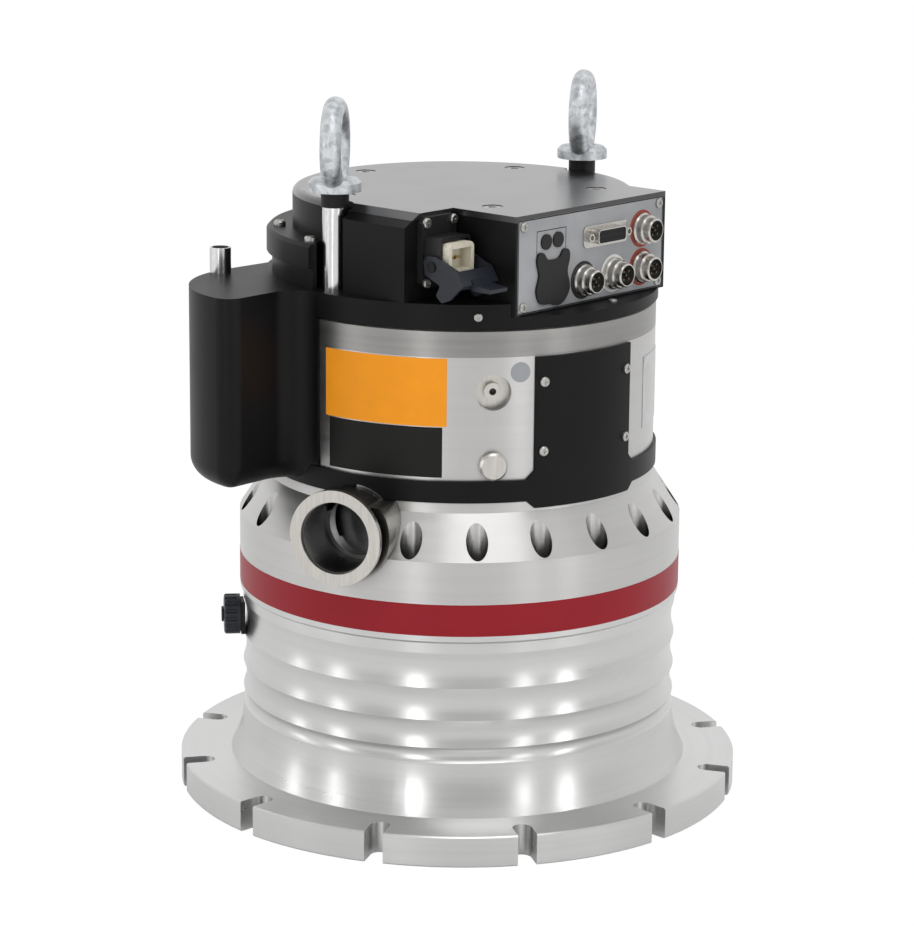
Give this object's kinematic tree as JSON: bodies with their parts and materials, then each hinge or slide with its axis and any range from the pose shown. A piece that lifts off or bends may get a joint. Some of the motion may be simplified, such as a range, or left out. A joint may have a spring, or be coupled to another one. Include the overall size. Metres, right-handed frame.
{
  "type": "turbomolecular pump",
  "caption": "Turbomolecular vacuum pump on its inlet flange, with an integrated drive unit, a foreline port and two lifting eyes.",
  "frame": {"origin": "centre of the mating face of the high-vacuum inlet flange, on which the pump stands upside down", "axes": "+Z runs along the rotor from the inlet flange to the drive unit; -Y is the side that the connector panel faces; +X is to the right seen from the connector panel"},
  "size_m": [0.335, 0.335, 0.42],
  "materials": {
    "turned_aluminium": "fine turned",
    "rotor_aluminium": "milled",
    "stainless": "brushed",
    "black_paint": "satin powder coat",
    "screw_steel": "plain",
    "galvanised": "galvanised",
    "polished_steel": "polished",
    "bearing_steel": "ground",
    "black_plastic": "matte",
    "blue_grey_plastic": "matte",
    "hood_paint": "satin",
    "cream_plastic": "matte",
    "panel_print": "satin",
    "nickel": "nickel plated",
    "contact_brass": "plain",
    "magnet_black": "sintered",
    "motor_iron": "laminated",
    "winding_copper": "enamelled copper",
    "elastomer": "matte",
    "felt_white": "felt"
  },
  "bodies": {
    "pump": {"inlet_housing": "turned_aluminium", "base_housing": "turned_aluminium", "base_cover": "turned_aluminium", "foreline_port": "stainless", "housing_screws": "stainless", "side_cover": "black_paint", "cover_screws": "screw_steel", "purge_fitting": "stainless", "blanking_plug": "stainless", "cooling_box": "black_paint", "cooling_nipple": "polished_steel", "stator_disc_1": "rotor_aluminium", "stator_disc_2": "rotor_aluminium", "stator_disc_3": "rotor_aluminium", "stator_disc_4": "rotor_aluminium", "spacer_rings": "rotor_aluminium", "holweck_stator": "rotor_aluminium", "bearing_star": "rotor_aluminium", "magnet_stator": "magnet_black", "safety_bearing": "stainless", "motor_stator": "motor_iron", "motor_windings": "winding_copper", "bearing_outer_ring": "bearing_steel", "bearing_balls": "bearing_steel", "bearing_holder": "elastomer", "oil_cartridge": "felt_white", "drive_base_ring": "black_paint", "drive_housing": "black_paint", "drive_lid": "black_paint", "lid_screws": "screw_steel", "rear_cover": "black_paint", "lifting_posts": "polished_steel", "post_sleeves": "black_plastic", "eye_bolts": "galvanised", "connector_panel": "panel_print", "panel_screws": "screw_steel", "panel_covers": "black_plastic", "dsub_socket": "nickel", "dsub_insert": "black_plastic", "socket_nuts": "nickel", "round_sockets": "nickel", "socket_inserts": "black_plastic", "mains_housing": "hood_paint", "mains_insert": "cream_plastic", "mains_contacts": "contact_brass", "mains_screws": "screw_steel", "lever_pins": "black_plastic", "vent_body": "black_plastic"},
    "rotor": {"rotor_shaft": "stainless", "rotor_disc_1": "rotor_aluminium", "rotor_disc_2": "rotor_aluminium", "rotor_disc_3": "rotor_aluminium", "rotor_disc_4": "rotor_aluminium", "holweck_rotor": "rotor_aluminium", "motor_magnet": "magnet_black", "magnet_rotor": "magnet_black", "bearing_inner_ring": "bearing_steel"},
    "locking_lever": {"locking_lever": "blue_grey_plastic"},
    "vent_plunger": {"vent_plunger": "blue_grey_plastic"},
    "vent_knob": {"vent_knob": "blue_grey_plastic"}
  },
  "joints": [
    {"name": "rotor_spin", "type": "hinge", "parent": "pump", "child": "rotor", "pos_m": [0, 0, 0], "axis": [0, 0, 1], "continuous": true},
    {"name": "lever_swing", "type": "hinge", "parent": "pump", "child": "locking_lever", "pos_m": [-0.081, -0.0625, 0.3315], "axis": [-1, 0, 0], "range_deg": [0, 75]},
    {"name": "vent_lift", "type": "slide", "parent": "pump", "child": "vent_plunger", "axis": [-0.7431, 0.6691, 0], "range_m": [0, 0.00201]},
    {"name": "vent_turn", "type": "hinge", "parent": "vent_plunger", "child": "vent_knob", "pos_m": [-0.09772, 0.08799, 0.1025], "axis": [-0.7431, 0.6691, 0], "range_deg": [0, 720]}
  ],
  "couplings": [
    {"joint": "vent_lift", "follows": "vent_turn", "m_per_rad": 0.00015915}
  ]
}
